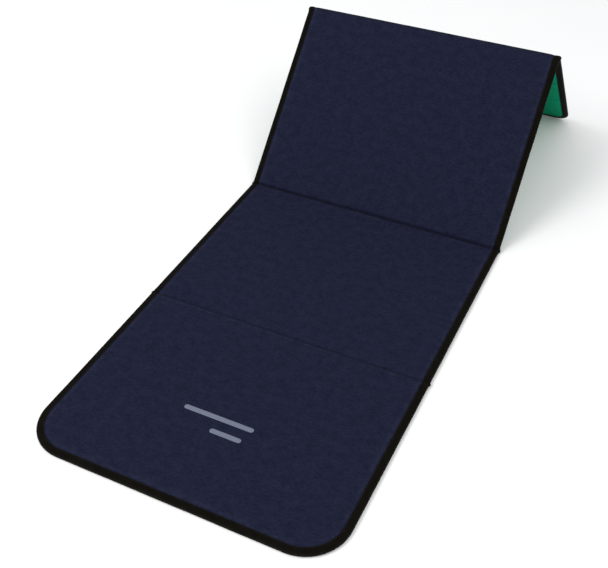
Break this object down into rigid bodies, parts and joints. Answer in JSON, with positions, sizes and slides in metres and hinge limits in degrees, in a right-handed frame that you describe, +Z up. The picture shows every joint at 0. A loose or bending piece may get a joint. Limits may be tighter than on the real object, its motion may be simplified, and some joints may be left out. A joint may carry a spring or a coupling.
{
  "type": "folding exercise mat",
  "caption": "Thin padded exercise mat in hinged panels, with a woven top, a green underside and taped edges; it folds up like a screen or stands as a low tent.",
  "frame": {"origin": "on the floor, under the middle of the mat as it stands: the centre of the bounding box's base", "axes": "+X across the mat to the right seen from the front edge, +Y from the front edge towards the tent, +Z up"},
  "size_m": [0.605, 1.4854, 0.3193],
  "materials": {
    "foam": "matte",
    "top_fabric": "matte",
    "underside_fabric": "matte",
    "edge_tape": "matte",
    "thread": "satin",
    "print_ink": "matte"
  },
  "bodies": {
    "panel_1": {"foam_core_1": "foam", "top_cover_1": "top_fabric", "underside_cover_1": "underside_fabric", "edge_binding_1": "edge_tape", "edge_stitching_top_1": "thread", "edge_stitching_under_1": "thread", "printed_bar_long": "print_ink", "printed_bar_short": "print_ink"},
    "panel_2": {"foam_core_2": "foam", "top_cover_2": "top_fabric", "underside_cover_2": "underside_fabric", "edge_binding_2_left": "edge_tape", "edge_binding_2_right": "edge_tape", "edge_stitching_top_2_left": "thread", "edge_stitching_top_2_right": "thread", "edge_stitching_under_2_left": "thread", "edge_stitching_under_2_right": "thread", "fold_cover_top_1": "top_fabric", "fold_cover_under_1": "underside_fabric", "fold_binding_1_left": "edge_tape", "fold_binding_1_right": "edge_tape", "fold_stitching_top_1": "thread", "fold_stitching_under_1": "thread", "fold_cover_top_2": "top_fabric", "fold_cover_under_2": "underside_fabric", "fold_binding_2_left": "edge_tape", "fold_binding_2_right": "edge_tape", "fold_stitching_top_2": "thread", "fold_stitching_under_2": "thread"},
    "panel_3": {"foam_core_3": "foam", "top_cover_3": "top_fabric", "underside_cover_3": "underside_fabric", "edge_binding_3_left": "edge_tape", "edge_binding_3_right": "edge_tape", "edge_stitching_top_3_left": "thread", "edge_stitching_top_3_right": "thread", "edge_stitching_under_3_left": "thread", "edge_stitching_under_3_right": "thread", "fold_cover_top_3": "top_fabric", "fold_cover_under_3": "underside_fabric", "fold_binding_3_left": "edge_tape", "fold_binding_3_right": "edge_tape", "fold_stitching_top_3": "thread", "fold_stitching_under_3": "thread"},
    "panel_4": {"foam_core_4": "foam", "top_cover_4": "top_fabric", "underside_cover_4": "underside_fabric", "edge_binding_4": "edge_tape", "edge_stitching_top_4": "thread", "edge_stitching_under_4": "thread"}
  },
  "joints": [
    {"name": "fold_1", "type": "hinge", "parent": "panel_2", "child": "panel_1", "pos_m": [0, -0.31072, -0.0004], "axis": [1, 0, 0], "range_deg": [0, 180], "deforming": ["fold_cover_top_1", "fold_cover_under_1", "fold_binding_1_left", "fold_binding_1_right", "fold_stitching_top_1", "fold_stitching_under_1"]},
    {"name": "fold_2", "type": "hinge", "parent": "panel_2", "child": "panel_3", "pos_m": [0, 0.12228, 0.0104], "axis": [1, 0, 0], "range_deg": [-45, 135], "deforming": ["fold_cover_top_2", "fold_cover_under_2", "fold_binding_2_left", "fold_binding_2_right", "fold_stitching_top_2", "fold_stitching_under_2"]},
    {"name": "fold_3", "type": "hinge", "parent": "panel_3", "child": "panel_4", "pos_m": [0, 0.43609, 0.30894], "axis": [-1, 0, 0], "range_deg": [-90.94, 89.05], "deforming": ["fold_cover_top_3", "fold_cover_under_3", "fold_binding_3_left", "fold_binding_3_right", "fold_stitching_top_3", "fold_stitching_under_3"]}
  ]
}
